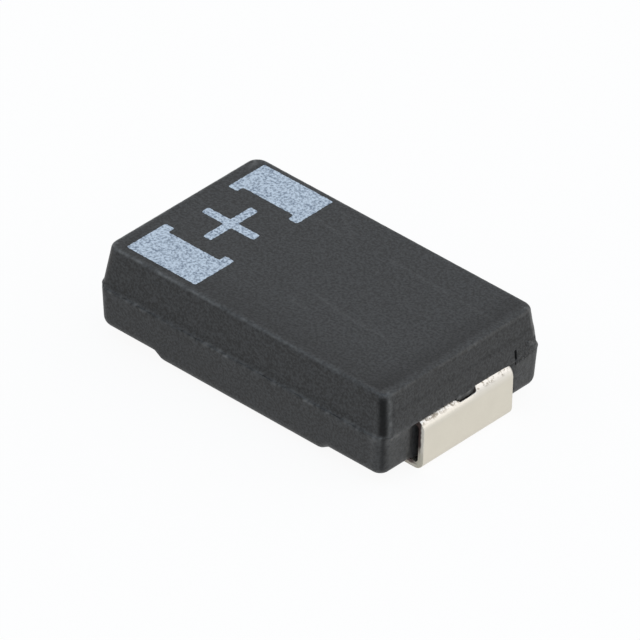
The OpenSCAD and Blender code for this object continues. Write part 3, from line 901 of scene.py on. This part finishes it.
# Notch across each strap's upper bend: how far it starts before the bend and runs round it, its two edges at
# its floor, how much wider it gets at each edge within a length, and the radius in its corners
NOTCH_INSIDE = 0.12
NOTCH_TURN = math.radians(48)
NOTCH_NEAR_Y, NOTCH_FAR_Y = -0.19, 0.25
NOTCH_NEAR_FLARE, NOTCH_FAR_FLARE, NOTCH_FLARE_LEN = 0.12, 0.03, 0.14
NOTCH_CORNER_R = 0.02

# The last steps of both strips: notched straight and upper bend, strap and lower bend, foot
DOWN = -math.pi / 2
STRAP_STEPS = [(NOTCH_INSIDE, DOWN), (LEG_LEN, DOWN), (FOOT_FLAT, 0)]

# Faces across the strip: on the near side of the notch, over it, and on its far side
LANES = (14, 5, 14)
STRIP_STEP = 0.05
BEND_STEP = 5

# The plating is stretched round the upper bend: how far round, and its width along the strip
STRETCHED_AT, STRETCHED_WID = 0.075, 0.09

# Softened edges of the sheared strip
SOFT_EDGE = 0.018
SOFT_EDGE_TURN = math.radians(40)


def follow_strip(x, z, steps):
    """Points down the middle of a folded strip, each with its length from the strip's start.
    Each step is a straight and the turn that comes after it."""
    place, heading, gone = Vector((x, z + FRAME_T / 2)), 0.0, 0.0
    course = [(place.copy(), gone)]
    for length, turn in steps:
        ahead = Vector((math.cos(heading), math.sin(heading)))
        for part in even(0, length, max(1, round(length / STRIP_STEP))):
            course.append((place + ahead * part, gone + part))
        place, gone = place + ahead * length, gone + length
        radius = math.copysign(MIDDLE_R, turn)
        centre = place + radius * Vector((-ahead.y, ahead.x))
        for part in even(0, turn, round(abs(math.degrees(turn)) / BEND_STEP)) if turn else []:
            angle = heading + part
            on_arc = centre - radius * Vector((-math.sin(angle), math.cos(angle)))
            course.append((on_arc, gone + abs(part * radius)))
        place, heading, gone = course[-1][0].copy(), heading + turn, course[-1][1]
    return course


def notch_edges(room):
    """Both edges of the notch, room millimetres back from its floor, where it is wider."""
    flare = share(room / NOTCH_FLARE_LEN)
    short = max(0, NOTCH_CORNER_R - room)
    rounded = NOTCH_CORNER_R - math.sqrt(NOTCH_CORNER_R ** 2 - short ** 2)
    return NOTCH_NEAR_Y - NOTCH_NEAR_FLARE * flare + rounded, NOTCH_FAR_Y + NOTCH_FAR_FLARE * flare - rounded


def lift(y, gone, bend_start):
    """How much fuller the cathode strap's bend is on the far side of its notch, where it sprang back."""
    start = share((gone - bend_start + 0.05) / 0.05)
    fade = share(1 - (gone - bend_start) / 0.17)
    side = share((y - 0.1) / 0.14)
    to_edge = share((TERM_WID / 2 - y) / 0.2)
    rounded = math.sqrt(1 - (1 - to_edge) ** 2)
    return start * fade * side * rounded * (0.08 - 0.02 * max(0, y - 0.24))


def pressed_share(past):
    """1 along the lower bend and the straights beside it, where the tool pressed tin over the edge. Past is
    the length from the start of that bend."""
    return share((past + 0.3) / 0.22) * share((0.26 - past) / 0.12)


def strip_sheet(course, half_width, mirror, bend_start):
    """Sheet of lead frame along a course, notched over its upper bend: its points and faces, and how bent and
    how pressed each point is. The points inside the notch are left out."""
    notch_end = bend_start + NOTCH_TURN * MIDDLE_R
    lower_start = bend_start + math.pi / 2 * MIDDLE_R + LEG_LEN
    wide = sum(LANES) + 1
    points, open_rows, bent, pressed = [], [], [], []
    for place, gone in course:
        angle = min(max((notch_end - gone) / MIDDLE_R, 0), math.pi / 2)
        near, far = notch_edges((BEND_R + FRAME_T) * math.sin(angle))
        half = half_width(gone)
        row = [-half] + even(-half, near, LANES[0]) + even(near, far, LANES[1]) + even(far, half, LANES[2])
        raised = [lift(y, gone, bend_start) if mirror > 0 else 0 for y in row]
        points += [(mirror * place.x, y, place.y + up) for y, up in zip(row, raised)]
        open_rows.append(bend_start - NOTCH_INSIDE - 1e-6 <= gone < notch_end - 1e-6)
        bent += [bell(gone, bend_start + STRETCHED_AT, STRETCHED_WID)] * wide
        pressed += [pressed_share(gone - lower_start)] * wide
    faces = []
    for face in grid_faces(wide, len(course)):
        row, lane = divmod(face[0], wide)
        if not (open_rows[row] and LANES[0] <= lane < LANES[0] + LANES[1]):
            faces.append(face)
    used = sorted({index for face in faces for index in face})
    fresh = {index: at for at, index in enumerate(used)}
    points, bent, pressed = ([values[i] for i in used] for values in (points, bent, pressed))
    return points, [tuple(fresh[i] for i in face) for face in faces], bent, pressed


def lay_strip(name, node, course, half_width, mirror, bend_start):
    """Folded terminal: its sheet, given its thickness and then softened edges."""
    points, faces, bent, pressed = strip_sheet(course, half_width, mirror, bend_start)
    strip = piece_from(name, points, faces, "tin_plate", node, bent=bent, pressed=pressed)
    thick = strip.modifiers.new("frame_thickness", "SOLIDIFY")
    thick.thickness = FRAME_T * MM
    thick.offset = 0
    thick.use_even_offset = True
    thick.material_offset_rim = 1
    soft = strip.modifiers.new("soft_edges", "BEVEL")
    soft.width = SOFT_EDGE * MM
    soft.segments = 2
    soft.limit_method = "ANGLE"
    soft.angle_limit = SOFT_EDGE_TURN
    return strip


def tray_half_width(gone):
    """Half the width of the cathode's strip, whose tray has rounded corners at its free end."""
    short = max(0, TRAY_R - gone)
    return TERM_WID / 2 - TRAY_R + math.sqrt(TRAY_R ** 2 - short ** 2)


def fold_cathode():
    """Tray under the slug, offset up to the parting line, strap down the end and foot."""
    tray_start = term_low.x
    tray_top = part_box("silver_adhesive")[0].z / MM
    both_bends = 2 * MIDDLE_R
    drop = PARTING_Z - tray_top
    slant = (drop - both_bends * (1 - math.cos(OFFSET_TURN))) / math.sin(OFFSET_TURN)
    run = both_bends * math.sin(OFFSET_TURN) + slant * math.cos(OFFSET_TURN)
    tray_len = BEND_X - EXIT_FLAT - run - tray_start
    steps = [(tray_len, OFFSET_TURN), (slant, -OFFSET_TURN), (EXIT_FLAT - NOTCH_INSIDE, 0)] + STRAP_STEPS
    bend_start = tray_len + slant + EXIT_FLAT + 2 * OFFSET_TURN * MIDDLE_R
    course = follow_strip(tray_start, tray_top - FRAME_T, steps)
    return lay_strip("cathode_strap", "cathode_terminal", course, tray_half_width, 1, bend_start)


def fold_anode():
    """Narrow tab under the riser wire, which widens at a square shoulder, strap down the end and foot."""
    shoulder_step = 0.001
    tab_tip = -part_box("anode_terminal")[1].x / MM
    tab_len = BEND_X - tab_tip
    wide_from = tab_len - SHOULDER
    steps = [(wide_from - shoulder_step, 0), (shoulder_step, 0), (SHOULDER - NOTCH_INSIDE, 0)] + STRAP_STEPS
    course = follow_strip(tab_tip, PARTING_Z - FRAME_T, steps)

    def tab_half_width(gone):
        return (TERM_WID if gone > wide_from - shoulder_step / 2 else TAB_WID) / 2

    return lay_strip("anode_strap", "anode_terminal", course, tab_half_width, -1, tab_len)


# ---------------------------------------------------------------- the pieces inside

def dress_inner_pieces():
    """Each has two tones, the size of its grain in millimetres and its roughness, and some their metallic
    share and the depth of their grain. Grain that is finer on the real piece is drawn coarser, to show."""
    finishes = {
        # Drawn through dies: even grey metal with a soft shine
        "riser_wire": grained("drawn_tantalum_wire", "#84878d", "#9a9da3", 0.04, 0.38, 1.0, 0.001),
        # Punched from shaved sheet: white, waxy and without gloss
        "insulating_washer": grained("ptfe_washer", "#e6e8e6", "#f4f5f3", 0.08, 0.5),
        # Pressed and sintered powder under its oxide: dull dark grey, rough with open pores
        "anode_slug": grained("sintered_tantalum_powder", "#585b60", "#7b7f84", 0.03, 0.8, 0.4, 0.012),
        # Grown in the pores from a bath: blue-black film with a little gloss
        "electrolyte_coat": grained("conductive_polymer", "#14161b", "#22252c", 0.06, 0.45),
        # Dipped and dried: dark grey, with the faint sheen of graphite
        "carbon_coat": grained("graphite_dip", "#2c2e30", "#424446", 0.05, 0.55, 0.2),
        # Dipped in paint full of silver flakes: pale grey and satin
        "silver_coat": grained("silver_paint", "#a9abad", "#c9cacb", 0.04, 0.5, 0.8),
        # Squeezed flat and cured: greyer and duller than the paint, with coarser flakes
        "silver_adhesive": grained("silver_filled_adhesive", "#94979a", "#b4b6b8", 0.05, 0.6, 0.7),
    }
    for name, finish in finishes.items():
        dress(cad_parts[name], finish)


# ---------------------------------------------------------------- everything together

bpy.context.scene.view_settings.view_transform = "Standard"
aim_camera()
white_floor()
light_studio()

epoxy = moulded_epoxy()
dress(mould_case(), epoxy)
dress(break_gate(), epoxy)
dress(burn_mark(), laser_marked_epoxy())
tin, sheared = matte_tin(), sheared_frame()
for strap in (fold_cathode(), fold_anode()):
    dress(strap, tin)
    strap.data.materials.append(sheared)
dress_inner_pieces()
